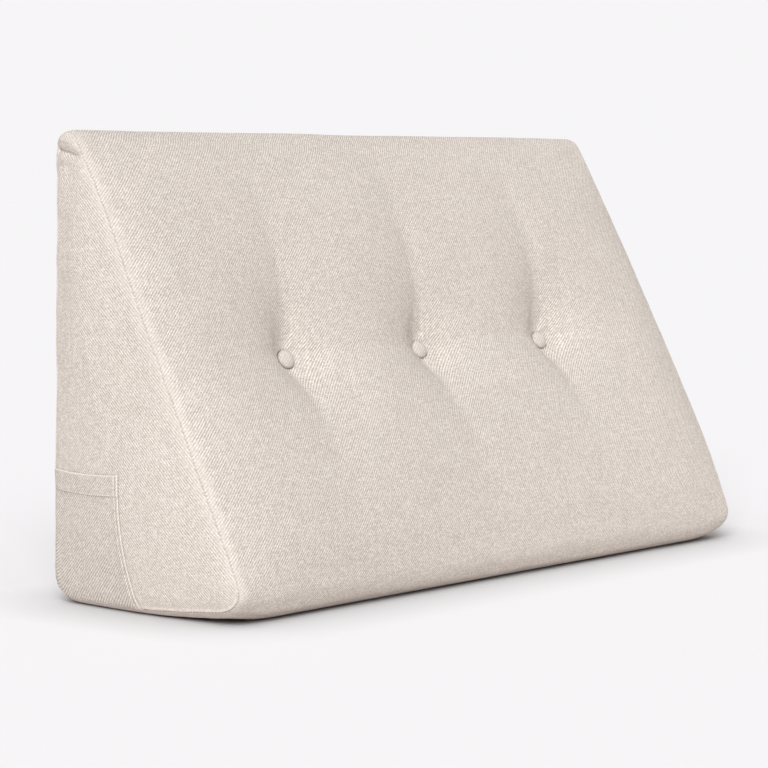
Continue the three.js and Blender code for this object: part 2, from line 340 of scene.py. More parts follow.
# The filling presses the cover out for this many frames, from a little smaller than the solid.
# The cover stays this near to the solid, and keeps a share of its slide along it.
FILL_FRAMES, START_SMALLER = 20, 1.5 * MM
MOST_OUT, MOST_IN, SLIDE_SHARE = 3 * MM, 0.8 * MM, 0.5
FILLING = {"quality": 5, "mass": 0.3, "tension_stiffness": 25, "compression_stiffness": 25,
           "shear_stiffness": 10, "bending_stiffness": 2, "vertex_group_mass": "held",
           "pin_stiffness": 2, "use_pressure": True, "uniform_pressure_force": 4}

# What holds the cover still: its base up to this height, its seams by this share, and its
# buttons, which let go between these distances
BASE_HELD, SEAM_HELD, BUTTON_HELD = 12 * MM, 0.75, (13 * MM, 24 * MM)


def held_still(obj, points, normals):
    """How firmly each point is held, from 0 to 1."""
    held = np.clip(1 - points[:, 2] / BASE_HELD, 0, 1) * (normals[:, 2] < -0.3)
    held = np.maximum(held, SEAM_HELD * weights(obj, "seam"))
    return np.maximum(held, 1 - smooth_step(*BUTTON_HELD, off_buttons(points)[0]))


def pressed_out(obj):
    """The cover's points once the filling has pressed it out."""
    cloth = obj.modifiers.new("Filling", "CLOTH")
    set_all(cloth.settings, FILLING)
    cloth.settings.effector_weights.gravity = 0
    cloth.collision_settings.use_collision = False
    set_all(cloth.point_cache, {"frame_start": 1, "frame_end": FILL_FRAMES})
    scene = bpy.context.scene
    for step in range(1, FILL_FRAMES + 1):
        scene.frame_set(step)
    depsgraph = bpy.context.evaluated_depsgraph_get()
    filled = points_of(obj.evaluated_get(depsgraph).data)
    obj.modifiers.remove(cloth)
    scene.frame_set(1)
    return filled


def fill_with_pressure(obj):
    """Blows the cover up against its seams, buttons and base, and keeps the shape it takes."""
    mesh = obj.data
    rest, normals = points_of(mesh), normals_of(mesh)
    held = held_still(obj, rest, normals)
    set_weights(obj, "held", np.round(held, 3))
    set_points(mesh, rest - normals * (START_SMALLER * (1 - held))[:, None])

    moved = pressed_out(obj) - rest
    outward = np.einsum("ij,ij->i", moved, normals)
    slide = moved - normals * outward[:, None]
    slid = np.linalg.norm(slide, axis=1, keepdims=True)
    slide *= np.minimum(1, MOST_OUT / np.maximum(slid, SAME_PLACE)) * SLIDE_SHARE
    kept = np.clip(outward, -MOST_IN, MOST_OUT) * (1 - held)
    set_points(mesh, rest + normals * kept[:, None] + slide * (1 - held)[:, None])


def refine_seams(obj):
    """Splits the edges that leave a seam, so that the seam can be drawn in sharply."""
    seam = seam_points(obj)
    bm = bmesh_of(obj.data)
    leaving = [e for e in bm.edges if seam[e.verts[0].index] != seam[e.verts[1].index]]
    bmesh.ops.subdivide_edges(bm, edges=leaving, cuts=2, use_grid_fill=True)
    bm.to_mesh(obj.data)
    bm.free()
    obj.data.shade_smooth()


def chains(mesh, on_seam):
    """Ordered points of each run of seam edges, with runs split where three or more meet."""
    bm = bmesh_of(mesh)
    left = {e for e in bm.edges if on_seam[e.verts[0].index] and on_seam[e.verts[1].index]}
    degree = Counter(vert for edge in left for vert in edge.verts)
    found = []
    for start in sorted(degree, key=lambda v: (degree[v] == 2, v.index)):
        while any(e in left for e in start.link_edges):
            vert, run = start, [start.co.copy()]
            while edge := next((e for e in vert.link_edges if e in left), None):
                left.remove(edge)
                vert = edge.other_vert(vert)
                run.append(vert.co.copy())
                if degree[vert] != 2:
                    break
            found.append(np.array(run))
    bm.free()
    return found


# Distances to a seam are measured to points this far apart along it, out to this reach
SAMPLE_STEP = 0.6 * MM
SEAM_REACH = 30 * MM


def distances_along(points):
    """Each point's distance from the first along a line of points."""
    return np.concatenate([[0], np.cumsum(np.linalg.norm(np.diff(points, axis=0), axis=1))])


def sampled(run):
    """Even points along a run, with the distance from its start."""
    at = distances_along(run)
    steps = np.arange(0, at[-1], SAMPLE_STEP)
    return np.stack([np.interp(steps, at, run[:, i]) for i in range(3)], axis=1), steps


def seam_measures(mesh, on_seam):
    """Each point's distance to the nearest seam, and how far along that seam it lies."""
    runs = [sampled(run) for run in chains(mesh, on_seam)]
    points = np.concatenate([run[0] for run in runs])
    along = np.concatenate([run[1] for run in runs])
    tree = KDTree(len(points))
    for index, point in enumerate(points):
        tree.insert(point, index)
    tree.balance()
    distance = np.full(len(mesh.vertices), SEAM_REACH)
    place = np.zeros(len(mesh.vertices))
    for vert in mesh.vertices:
        _, index, gap = tree.find(vert.co)
        if gap < SEAM_REACH:
            distance[vert.index] = 0 if on_seam[vert.index] else gap
            place[vert.index] = along[index]
    return distance, place


# How far apart in the noise the lumps of one seed lie from those of the next
SEED_STEPS = (7.3, 3.1, 5.7)


def uneven(points, scale, seed):
    """Soft random relief from -1 to 1, whose lumps are about `scale` across."""
    shift = Vector([seed * step for step in SEED_STEPS])
    return np.array([noise.noise(Vector(p) / scale + shift) for p in points])


def panel_of_points(mesh):
    """Each face's panel, and whether each point touches side panels alone."""
    panels = read(mesh.attributes["panel"].data, "value", kind=np.int32)
    every = np.ones(len(mesh.vertices), dtype=bool)
    for polygon in mesh.polygons:
        side = panels[polygon.index] in SIDE_PANELS
        every[list(polygon.vertices)] &= side
    return panels, every


# A seam's stitches, and its drawn-in line: how deep that is, how much deeper at the stitches, how
# far it reaches either side, and how far it wavers over which length
SEAM_STITCH = 3.6 * MM
LINE_DEPTH, STITCH_DEPTH, LINE_REACH = 0.6 * MM, 0.35 * MM, 0.9 * MM
WAVER, WAVER_LENGTH = 0.8 * MM, 16 * MM

# The wide hollow that a seam lies in, and the puckers beside it. Here and below, a place is a
# middle and a reach to either side.
HOLLOW_DEPTH, HOLLOW_REACH = 0.8 * MM, 6 * MM
PUCKER, PUCKER_LENGTH, PUCKER_PLACE = 0.55 * MM, 9 * MM, (4 * MM, 7 * MM)

# The fold on the side panel's edge: its height in millimetres, and how much higher it gets low
# down and at the back. That height also sets a painted highlight on the fold, and a band of
# painted shade lies on the other side of the stitches, low down.
FOLD_HEIGHT, FOLD_HIGHER, FOLD_PLACE = 0.3, 1.2, (2.0 * MM, 1.4 * MM)
FOLD_LOW, FOLD_BACK = (40 * MM, 12 * MM), (14 * MM, 6 * MM)
SHADE_BAND_SHARE, SHADE_BAND_PLACE = 0.8, (-5 * MM, 5 * MM)

# Over the pinch at each top corner, a seam loses this share of its line and fold
EAR_LESS, EAR_HEIGHTS = 0.75, (472 * MM, 488 * MM)


def seam_relief(points, distance, along, inside):
    """A drawn-in stitch line that wavers, a raised fold on the side panel's edge, and puckers."""
    zero = np.zeros(len(points))
    signed = np.where(inside, distance, -distance)
    on_line = np.stack([along, zero, zero], axis=1)
    wavering = signed + WAVER * uneven(on_line, WAVER_LENGTH, 6)
    stitch = 0.5 + 0.5 * np.cos(along * 2 * math.pi / SEAM_STITCH)
    line = -(LINE_DEPTH + STITCH_DEPTH * stitch) * bell(wavering, 0, LINE_REACH)
    hollow = -HOLLOW_DEPTH * bell(distance, 0, HOLLOW_REACH)
    low = smooth_step(*FOLD_LOW, points[:, 2])
    at_back = smooth_step(*FOLD_BACK, BACK - points[:, 1])
    fold = FOLD_HEIGHT + FOLD_HIGHER * np.maximum(low, at_back)
    fold = fold * bell(wavering, *FOLD_PLACE) * inside
    # Painted shade only: a band past the stitches, low down
    shade_band = low * bell(signed, *SHADE_BAND_PLACE) * (1 - inside)
    along_and_out = np.stack([along, distance / 4, zero], axis=1)
    pucker = PUCKER * uneven(along_and_out, PUCKER_LENGTH, 3) * bell(distance, *PUCKER_PLACE)
    kept = 1 - EAR_LESS * smooth_step(*EAR_HEIGHTS, points[:, 2])
    relief = (line + fold * MM) * kept + hollow + pucker
    # The third value is painted light: a highlight on the fold and shade on the band past the
    # stitches
    return relief, np.abs(wavering), (fold - SHADE_BAND_SHARE * shade_band) * kept


# Creases that leave each button: up (1) or down (-1) the slope, how far each leans along X, and
# in millimetres how far it swings aside just off the button, its depth, its reach and its width
CREASES = [(1, 0.0, 10, 3.0, 85, 7), (1, -0.34, 0, 1.0, 40, 5), (1, 0.42, 0, 0.8, 34, 5),
           (-1, -0.12, 2, 2.2, 62, 7), (-1, 0.30, 0, 1.2, 44, 6), (-1, -0.55, 0, 0.7, 30, 5)]
SWING_PLACE = (32 * MM, 26 * MM)
CREASE_START, CREASE_WIDENS = (6 * MM, 20 * MM), 110 * MM

# Gathers round each button: their height, where they start and how fast they fade
GATHER_HEIGHT, GATHER_START, GATHER_FADE = 1.5 * MM, (10 * MM, 15 * MM), 12 * MM

# Tufting shows on the front alone: down to this depth behind the slope's face, and this far off
# the back and the base
FRONT_DEPTH, FRONT_MARGIN = (-60 * MM, -45 * MM), 20 * MM

# The shallow valley that joins the buttons: it starts between these distances from a button and
# ends between these shares of the half width
VALLEY_DEPTH, VALLEY_REACH = 1.5 * MM, 7 * MM
VALLEY_START, VALLEY_ENDS = (8 * MM, 30 * MM), (0.45, 0.85)


def tuft_relief(points):
    """Creases that run up and down from each button, small gathers round it, and the valley."""
    distance, way = off_buttons(points)
    aside, rise = way[:, 0], way @ RISE
    angle = np.arctan2(rise, aside)
    gathers = 0.5 * np.cos(11 * angle + 1.2 * np.sin(2 * angle)) + 0.3 * np.cos(17 * angle + 2)
    ring = smooth_step(*GATHER_START, distance) * np.exp(-distance / GATHER_FADE)
    relief = GATHER_HEIGHT * gathers * ring
    for side, lean, swing, deep, reach, wide in CREASES:
        length = np.maximum(side * rise, 0)
        off = aside - lean * length - swing * MM * bell(length, *SWING_PLACE)
        fade = smooth_step(*CREASE_START, length) * np.exp(-length / (reach * MM))
        width = wide * MM * (1 + length / CREASE_WIDENS)
        relief -= deep * MM * np.exp(-np.abs(off) / width) * fade
    flat = points[:, 1:] - SIDE["foot"]
    up = np.abs(flat @ SIDE["rise"] - ROW_UP)
    out = np.abs(points[:, 0] - MIDDLE) / HALF_WIDTH
    valley = np.exp(-up / VALLEY_REACH) * (1 - smooth_step(*VALLEY_ENDS, out))
    relief -= VALLEY_DEPTH * valley * smooth_step(*VALLEY_START, distance)
    to_edge = np.minimum(BACK - points[:, 1], points[:, 2])
    return relief * smooth_step(*FRONT_DEPTH, flat @ SIDE["out"]) * (to_edge > FRONT_MARGIN)


# Long folds along the toe: their height, their width, and how little a step along X counts. They
# fade in between these heights and these places in Y.
TOE_FOLD, TOE_SCALE, TOE_STRETCH = 0.9 * MM, 13 * MM, 0.12
TOE_HEIGHTS, TOE_AHEAD = (58 * MM, 30 * MM), (-20 * MM, -60 * MM)


def toe_relief(points):
    """Long shallow folds that run along the toe, where the cover turns under."""
    drawn_out = points * np.array([TOE_STRETCH, 1, 1])
    low = smooth_step(*TOE_HEIGHTS, points[:, 2])
    ahead = smooth_step(*TOE_AHEAD, points[:, 1])
    return TOE_FOLD * uneven(drawn_out, TOE_SCALE, 5) * low * ahead


# The pinch under each top corner sinks forwards from the back edge. It ends between these
# distances from the back, is sharp above and softer below, and has a puff of cloth over it.
PINCH_DEPTH, PINCH_SINKS, PINCH_START = 4.4 * MM, 0.22, 9 * MM
PINCH_ENDS, PINCH_ABOVE, PINCH_BELOW = (46 * MM, 26 * MM), 2.6 * MM, 5 * MM
PUFF, PUFF_PLACE = 1.6 * MM, (11 * MM, 7 * MM)

# Soft dents down the side panel's back edge, in millimetres: depth, place in height, and place
# from the back
DENTS = [(2.6, 452, 15, 20, 14), (1.7, 395, 20, 14, 16), (1.7, 330, 24, 14, 16),
         (1.7, 240, 20, 14, 16)]

# Pinch and dents grow from the seam inwards, and a share of them goes on over the back panel
EAR_INWARD = (0, 5 * MM)
EAR_ON_BACK, EAR_BACK_SHARE, EAR_BACK_DEPTH = (8 * MM, 0), 0.4, 14 * MM


def ear_relief(points, distance, inside):
    """The pinch under each top corner, and soft dents down the side panel's back edge."""
    height, depth = points[:, 2], BACK - points[:, 1]
    on_back = smooth_step(*EAR_ON_BACK, distance) * EAR_BACK_SHARE
    share = np.where(inside, smooth_step(*EAR_INWARD, distance), 0)
    share = np.maximum(share, np.where(depth < EAR_BACK_DEPTH, on_back, 0))
    off = height - (PINCH_HEIGHT - PINCH_SINKS * (depth - PINCH_START))
    reach = smooth_step(*PINCH_ENDS, depth)
    relief = -PINCH_DEPTH * np.exp(-np.abs(off) / np.where(off > 0, PINCH_ABOVE, PINCH_BELOW))
    relief = (relief + PUFF * bell(off, *PUFF_PLACE)) * reach
    for deep, level, tall, back, long in np.array(DENTS) * MM:
        relief -= deep * bell(height, level, tall) * bell(depth, back, long)
    return relief * share


# The most that cloth may stand above a button's seat: nothing below the button, a step up past
# its rim, and slopes that start this far off and rise this steeply. It holds for points this
# near to a button's axis and no higher than this over its seat.
UNDER_BUTTON, LIP, LIP_AT = -0.35 * MM, 2.7 * MM, (10.7 * MM, 11.5 * MM)
HUG_SLOPES = [(12.2 * MM, 0.55), (24 * MM, 1.1)]
HUG_REACH, HUG_HEIGHT = 45 * MM, 60 * MM


def hug_buttons(points):
    """Keeps the cloth under and round each button no higher than its seat and its rim."""
    distance, _ = off_buttons(points)
    height = points @ OUT - np.mean([np.array(seat) @ OUT for seat in BUTTONS.values()])
    most = UNDER_BUTTON + LIP * smooth_step(*LIP_AT, distance)
    for start, slope in HUG_SLOPES:
        most = most + slope * np.maximum(distance - start, 0)
    near = (distance < HUG_REACH) & (height > most) & (height < HUG_HEIGHT)
    points[near] -= np.outer(height[near] - most[near], OUT)
    return points


# Unevenness of the whole filled cover: height, size of its lumps, and seed
UNEVENNESS = [(0.9 * MM, 110 * MM, 1), (0.35 * MM, 38 * MM, 2)]

# What rests on the floor stays flat: faces that look down so far, up to this height
LOOKS_DOWN, RESTS = (-0.5, -0.9), (6 * MM, 1 * MM)


def add_relief(obj):
    """Seams, creases, gathers and unevenness, as moves along the normals."""
    mesh = obj.data
    points, normals = points_of(mesh), normals_of(mesh)
    distance, along = seam_measures(mesh, seam_points(obj))
    _, inside = panel_of_points(mesh)
    relief, gap, painted_light = seam_relief(points, distance, along, inside)
    relief += tuft_relief(points) + toe_relief(points)
    relief += ear_relief(points, distance, inside)
    for height, scale, seed in UNEVENNESS:
        relief += height * uneven(points, scale, seed)
    resting = smooth_step(*LOOKS_DOWN, normals[:, 2]) * smooth_step(*RESTS, points[:, 2])
    moved = points + normals * (relief * (1 - resting))[:, None]
    moved[:, 2] = np.maximum(moved[:, 2], 0)
    set_points(mesh, hug_buttons(moved))
    # The seam's painted light: a highlight on the fold and shade on the band past the stitches
    for name, values in (("seam_gap", gap), ("seam_along", along), ("seam_painted_light", painted_light)):
        attribute = mesh.attributes.new(name, "FLOAT", "POINT")
        attribute.data.foreach_set("value", values.astype(np.float32))


def round_the_wedge(points):
    """Distance along the wrapped cloth: up the slope, over the top and down the back."""
    flat = points[:, 1:]
    up = (flat - SIDE["foot"]) @ SIDE["rise"]
    head = float((SIDE["head"] - SIDE["foot"]) @ SIDE["rise"])
    angles = {name: np.mod(np.arctan2(flat[:, 1] - SIDE[name][1], flat[:, 0] - SIDE[name][0]),
                           2 * math.pi) for name in ("top", "front", "back")}
    over_top = head + TOP_RADIUS * (SIDE["angle"] - angles["top"])
    past_top = head + TOP_RADIUS * SIDE["angle"] + SIDE["top"][1]
    down = past_top - flat[:, 1]
    back_turn = past_top - SIDE["back"][1] + BACK_RADIUS * (2 * math.pi - angles["back"])
    under_toe = -FRONT_RADIUS * (angles["front"] - SIDE["angle"])
    is_back = BACK - flat[:, 0] < np.abs((flat - SIDE["foot"]) @ SIDE["out"])
    height, on_top = flat[:, 1], flat[:, 1] > SIDE["top"][1]
    return np.select(
        [on_top & (up > head), on_top, is_back & (height < SIDE["back"][1]), is_back, up < 0],
        [over_top, up, back_turn, down, under_toe], up)


# The side panels' cloth bulges past their seams by so much, and is turned there by this share
SIDE_BULGE = 9 * MM
TURN_SHARE = 0.25


def lay_cloth(mesh):
    """A UV map in metres for each panel, along its warp and weft."""
    points, normals = points_of(mesh), normals_of(mesh)
    panels, _ = panel_of_points(mesh)
    loops = read(mesh.loops, "vertex_index", kind=np.int32)
    panel = np.repeat(panels, read(mesh.polygons, "loop_total", kind=np.int32))
    x, y, z = points.T
    turned = np.maximum(SEAM_OUT + SIDE_BULGE - np.abs(x - MIDDLE), 0) * TURN_SHARE
    edge = normals[:, 1:] / np.maximum(np.linalg.norm(normals[:, 1:], axis=1), 0.05)[:, None]
    side_y, side_z = y + edge[:, 0] * turned, z + edge[:, 1] * turned
    maps = {WRAP: (x, round_the_wedge(points)), LEFT_SIDE: (side_z, side_y),
            RIGHT_SIDE: (side_z, -side_y), BASE: (x, -y)}
    places = np.zeros((len(loops), 2))
    for name, (u, v) in maps.items():
        chosen = panel == name
        places[chosen] = np.stack([u, v], axis=1)[loops[chosen]]
    layer = mesh.uv_layers.new(name="cloth")
    layer.uv.foreach_set("vector", places.ravel())


def make_cushion():
    bm = quads_from_solid("cushion")
    fill_seats(bm)
    panel = bm.faces.layers.int.new("panel")
    seam_layer = bm.verts.layers.int.new("on_seam")
    seams = cover_seams(bm)
    mark_panels(bm, panel, seams)
    for vert in {v for seam in seams for e in seam for v in e.verts}:
        vert[seam_layer] = 1
    cut_side_panels(bm, panel)
    on_seam = [float(v[seam_layer]) for v in bm.verts]
    obj = mesh_object("filled_wedge", bm)
    set_weights(obj, "seam", on_seam)
    made_real(obj, "SUBSURF", levels=1)
    fill_with_pressure(obj)
    made_real(obj, "SUBSURF", levels=1)
    refine_seams(obj)
    add_relief(obj)
    lay_cloth(obj.data)
    return obj


# Cloth

def linear(red, green, blue):
    """A colour given as it shows on a screen, in the renderer's own scale."""
    parts = [value / 255 for value in (red, green, blue)]
    return [p / 12.92 if p <= 0.04045 else ((p + 0.055) / 1.055) ** 2.4 for p in parts] + [1]


LIGHT_YARN = linear(246, 240, 233)
DARK_YARN = linear(171, 160, 149)
THREAD = linear(206, 196, 184)


class Nodes:
    """The nodes of one material or world, written as plain sums."""

    def __init__(self, owner):
        owner.use_nodes = True
        self.owner = owner
        self.tree = owner.node_tree
        self.shader = self.tree.nodes.get("Principled BSDF")

    def fill(self, node, inputs):
        """Links or sets inputs of a node."""
        for name, value in inputs.items():
            if isinstance(value, bpy.types.NodeSocket):
                self.tree.links.new(value, node.inputs[name])
            else:
                node.inputs[name].default_value = value
        return node

    def node(self, kind, inputs, **settings):
        node = self.tree.nodes.new(kind)
        set_all(node, settings)
        return self.fill(node, inputs)

    def math(self, operation, *values):
        return self.node("ShaderNodeMath", dict(enumerate(values)), operation=operation).outputs[0]

    def add(self, a, b):
        return self.math("ADD", a, b)

    def less(self, a, b):
        return self.math("SUBTRACT", a, b)

    def times(self, a, b):
        return self.math("MULTIPLY", a, b)

    def size(self, value):
        return self.math("ABSOLUTE", value)

    def wave(self, value, scale):
        return self.math("SINE", self.times(value, scale))

    def vector(self, x, y, z=0.0):
        return self.node("ShaderNodeCombineXYZ", {0: x, 1: y, 2: z}).outputs[0]

    def fade(self, value, low, high, start=0.0, end=1.0):
        inputs = {"Value": value, "From Min": low, "From Max": high, "To Min": start, "To Max": end}
        node = self.node("ShaderNodeMapRange", inputs, interpolation_type="SMOOTHSTEP")
        return node.outputs["Result"]

    def noise(self, place, scale, detail=2.0):
        inputs = {"Vector": place, "Scale": scale, "Detail": detail}
        return self.node("ShaderNodeTexNoise", inputs).outputs["Fac"]

    def mix(self, factor, a, b, blend="MIX"):
        inputs = {0: factor, 6: a, 7: b}
        return self.node("ShaderNodeMix", inputs, data_type="RGBA", blend_type=blend).outputs[2]

    def shade(self, color, factor):
        """A colour made lighter or darker by a factor."""
        grey = self.node("ShaderNodeCombineColor", {0: factor, 1: factor, 2: factor}).outputs[0]
        return self.mix(1.0, color, grey, "MULTIPLY")

    def cloth(self):
        """The place on the piece's cloth in metres, whole and as its two parts."""
        place = self.node("ShaderNodeUVMap", {}, uv_map="cloth").outputs["UV"]
        parts = self.node("ShaderNodeSeparateXYZ", {0: place}).outputs
        return place, parts[0], parts[1]

    def bump(self, height, strength, distance):
        inputs = {"Strength": strength, "Distance": distance, "Height": height}
        return self.node("ShaderNodeBump", inputs).outputs[0]

    def seen(self):
        """1 for what the camera sees itself, and 0 for light on its way."""
        return self.node("ShaderNodeLightPath", {}).outputs["Is Camera Ray"]


def material_nodes(name):
    return Nodes(bpy.data.materials.new(name))


def seam_shade_and_highlights(n):
    """Painted shade along a seam's stitches, a painted highlight on the fold beside it and shade
    past it.
    """
    gap, along, painted_light = (n.node("ShaderNodeAttribute", {}, attribute_name=name).outputs["Fac"]
                         for name in ("seam_gap", "seam_along", "seam_painted_light"))
    # Painted shade along the seam's line, darker at each stitch
    depth = n.fade(n.wave(along, 2 * math.pi / SEAM_STITCH), -0.6, 0.8, 0.80, 0.93)
    tone = n.math("MAXIMUM", n.fade(gap, 0.2 * MM, 1.2 * MM), depth)
    # Painted highlight on the fold and painted shade on the band past the stitches
    return n.times(tone, n.add(1.0, n.times(painted_light, 0.22))), n.fade(gap, 0.0, 16 * MM, 0.55, 1.0)


# Stripes of painted light on the pocket: a painted highlight on each fold, painted shade and a
# painted highlight beside each row of stitches, and a painted highlight along the sewn-in foot.
# How far off its line each is full and gone, and how light it is there
FOLD_HIGHLIGHT = (0.2 * MM, 1.6 * MM, 1.26, 1.0)
SHADE_STRIPE = (0.1 * MM, 0.9 * MM, 0.74, 1.0)
SHINE_STRIPE = (0.1 * MM, 1.0 * MM, 1.22, 1.0)
FOOT_HIGHLIGHT = (0.8 * MM, 2.6 * MM, 1.3, 1.0)


def pocket_shade_and_highlights(n):
    """Painted light: highlights on the pocket's two folds and foot, shade and shine by each row of
    stitches.
    """
    a, b = (n.times(part, -1.0) for part in n.cloth()[1:])
    # Painted shade: the pocket grows darker towards its bottom
    tone = n.fade(b, 20 * MM, 150 * MM, 0.93, 0.86)
    for distance, shade_at, shine_at in ((a, EDGE_STITCH - 0.9 * MM, EDGE_STITCH + 1.1 * MM),
                                         (b, HEM_STITCH + 0.9 * MM, HEM_STITCH - 0.5 * MM)):
        # Painted highlight on the fold, painted shade in the line of stitches and a painted
        # highlight beside it
        fold = n.fade(n.size(distance), *FOLD_HIGHLIGHT)
        dark = n.fade(n.size(n.less(distance, shade_at)), *SHADE_STRIPE)
        light = n.fade(n.size(n.less(distance, shine_at)), *SHINE_STRIPE)
        tone = n.times(n.times(tone, fold), n.times(dark, light))
    # Painted highlight along the sewn-in foot
    foot = n.fade(n.less(FRONT_TOP - SEWN_UP, b), *FOOT_HIGHLIGHT)
    to_fold = n.math("MINIMUM", n.size(a), n.size(b))
    return n.times(tone, foot), n.fade(to_fold, 0.5 * MM, 3.0 * MM, 0.35, 1.0)


# Each yarn runs over two and under two, so that its lift repeats every four. Its height is made
# of that lift and of its roundness, its tone of long slubs and of chance for each float.
LIFT, ROUNDNESS = 0.6, 0.8
SLUB_TONE, FLOAT_TONE = 0.8, 0.65
SLUB_ACROSS, SLUB_ALONG = 3.7, 0.045

# How far the yarns wander, in yarns, over noise of these scales, and how high the weave stands
WANDER, WARP_WANDERS, WEFT_WANDERS = 2.2, 28.0, 21.0
WEAVE_HEIGHT = 0.45 * MM

# The range of a yarn's tones between its lightest and its darkest
TONES = (0.3, 1.05)


def yarn(n, turn, way, beside, number, slub_at, seed):
    """How high the warp (way 1) or the weft (way -1) stands, and how light or dark it is."""
    lift, roundness = n.wave(turn, way * math.pi / 2), n.size(n.wave(beside, math.pi))
    place = n.vector(number, n.math("FLOOR", n.times(turn, 1 / 4)), seed)
    chance = n.node("ShaderNodeTexWhiteNoise", {"Vector": place}).outputs["Value"]
    return (n.add(n.times(lift, LIFT), n.times(roundness, ROUNDNESS)),
            n.add(n.times(n.noise(slub_at, 1.0), SLUB_TONE), n.times(chance, FLOAT_TONE)))


def twill(name, contrast, details=None):
    """A 2/2 twill of light warp and darker weft on the piece's own cloth map."""
    n = material_nodes(name)
    cloth, map_u, map_v = n.cloth()
    body = n.node("ShaderNodeTexCoord", {}).outputs["Object"]
    u = n.add(n.times(map_u, 1 / YARN), n.times(n.noise(cloth, WARP_WANDERS), WANDER))
    v = n.add(n.times(map_v, 1 / YARN), n.times(n.noise(body, WEFT_WANDERS), WANDER))
    warp, weft = n.math("FLOOR", u), n.math("FLOOR", v)
    warp_turn, weft_turn = n.less(v, warp), n.add(n.less(weft, u), 1.0)
    warp_slub = n.vector(n.times(warp, SLUB_ACROSS), n.times(v, SLUB_ALONG))
    weft_slub = n.vector(n.times(u, SLUB_ALONG), n.times(weft, SLUB_ACROSS), 9.0)
    warp_top, warp_tone = yarn(n, warp_turn, 1, u, warp, warp_slub, 0.0)
    weft_top, weft_tone = yarn(n, weft_turn, -1, v, weft, weft_slub, 5.0)
    height = n.math("MAXIMUM", warp_top, weft_top)
    warp_shows = n.math("GREATER_THAN", warp_top, weft_top)

    # Any details give painted shade and painted highlights, and a share of the weave's strength
    tone, strength = details(n) if details else (1.0, 1.0)
    strength = n.times(strength, contrast)
    reach = n.times(strength, 0.5)
    warp_part = n.less(0.5, n.times(reach, n.fade(warp_tone, *TONES, 1.0, 0.0)))
    weft_part = n.add(0.5, n.times(reach, n.fade(weft_tone, *TONES)))
    part = n.node("ShaderNodeMix", {0: warp_shows, 2: weft_part, 3: warp_part}).outputs[0]
    color = n.mix(part, LIGHT_YARN, DARK_YARN)

    # Painted shade: the weave is darker where it sinks between the yarns
    depth = n.less(1.0, n.fade(height, -0.1, 0.9))
    hollow = n.less(1.0, n.times(depth, n.times(strength, 0.5)))
    wide = n.fade(n.noise(body, 5.0), 0.3, 0.7, 0.975, 1.015)
    color = n.shade(color, n.times(n.times(hollow, wide), tone))

    fuzz = n.noise(n.vector(u, v, 3.0), 1.7, 3.0)
    bump = n.bump(n.add(height, n.times(fuzz, 0.5)), 1.0, WEAVE_HEIGHT)
    n.fill(n.shader, {
        "Base Color": color, "Normal": bump, "Roughness": n.fade(fuzz, 0.2, 0.8, 0.84, 0.96),
        "Specular IOR Level": 0.2, "Sheen Weight": 0.06, "Sheen Roughness": 0.45})
    return n.owner


# A covered button's outline: distances from its axis and above its seat, in millimetres
BUTTON_OUTLINE = [(0, 0), (6, 0), (9.3, 0), (10.4, 0.5), (10.7, 1.8), (10.65, 3.1), (10, 4.4),
                  (9, 5.2), (7.8, 5.9), (6.6, 6.45), (5.4, 6.8), (4, 7.1), (2, 7.35), (0, 7.45)]
BUTTON_AROUND = 96

# The cloth on a button: pleats round its rim, a groove pressed in round its dome from a height
# up, and how much the cloth map shrinks for each metre of height
PLEATS, PLEAT_HEIGHT, PLEATS_AT = 24, 0.12 * MM, (8 * MM, 10.5 * MM)
GROOVE_DEPTH, GROOVE_PLACE, DOME_FROM = 0.3 * MM, (6.6 * MM, 0.7 * MM), 4 * MM
MAP_SHRINKS = 20


def make_button(name, seat):
    """Cloth pulled over a low dome and gathered under its rim."""
    bm = bmesh.new()
    outline = [bm.verts.new((r * MM, 0, h * MM)) for r, h in BUTTON_OUTLINE]
    edges = [bm.edges.new(pair) for pair in zip(outline, outline[1:])]
    bmesh.ops.spin(bm, geom=[*outline, *edges], cent=(0, 0, 0), axis=(0, 0, 1),
                   angle=2 * math.pi, steps=BUTTON_AROUND, use_merge=True)
    bmesh.ops.remove_doubles(bm, verts=bm.verts, dist=SAME_PLACE)
    bmesh.ops.recalc_face_normals(bm, faces=bm.faces)
    cloth = bm.loops.layers.uv.new("cloth")
    for face in bm.faces:
        for loop in face.loops:
            loop[cloth].uv = loop.vert.co.xy * (1 - MAP_SHRINKS * loop.vert.co.z)
    for vert in bm.verts:
        radius, angle = vert.co.xy.length, math.atan2(vert.co.y, vert.co.x)
        pleat = PLEAT_HEIGHT * math.cos(PLEATS * angle + 0.7 * math.sin(3 * angle))
        vert.co.xy *= 1 + pleat * smooth_step(*PLEATS_AT, radius) / max(radius, MM)
        if vert.co.z > DOME_FROM:
            vert.co.z -= GROOVE_DEPTH * bell(radius, *GROOVE_PLACE)
    turn = SLOPE_OUT.to_track_quat("Z", "Y").to_matrix()
    bmesh.ops.rotate(bm, verts=bm.verts, cent=(0, 0, 0), matrix=turn)
    bmesh.ops.translate(bm, verts=bm.verts, vec=seat)
    return mesh_object("covered_" + name, bm)


# The patch pocket, seen square to the side panel: its width from the back face, the heights of
# its top edge, how much that edge sags, and how far the front edge curves forward at its foot
POCKET_WIDTH, BACK_TOP, FRONT_TOP = 117 * MM, 143 * MM, 144 * MM
SAG, FLARE = 2 * MM, 22 * MM

# The seam that its other two edges are sewn into: in from the back, up from the base, and the
# radius of its corner
SEWN_IN, SEWN_UP, SEWN_RADIUS = 2.6 * MM, 5.9 * MM, 25 * MM

# Cloth turned under at the pocket's front edge and at its top, and where each is stitched
TURNED_UNDER, EDGE_STITCH = 9 * MM, 4.2 * MM
HEM, HEM_STITCH = 22.5 * MM, 21 * MM

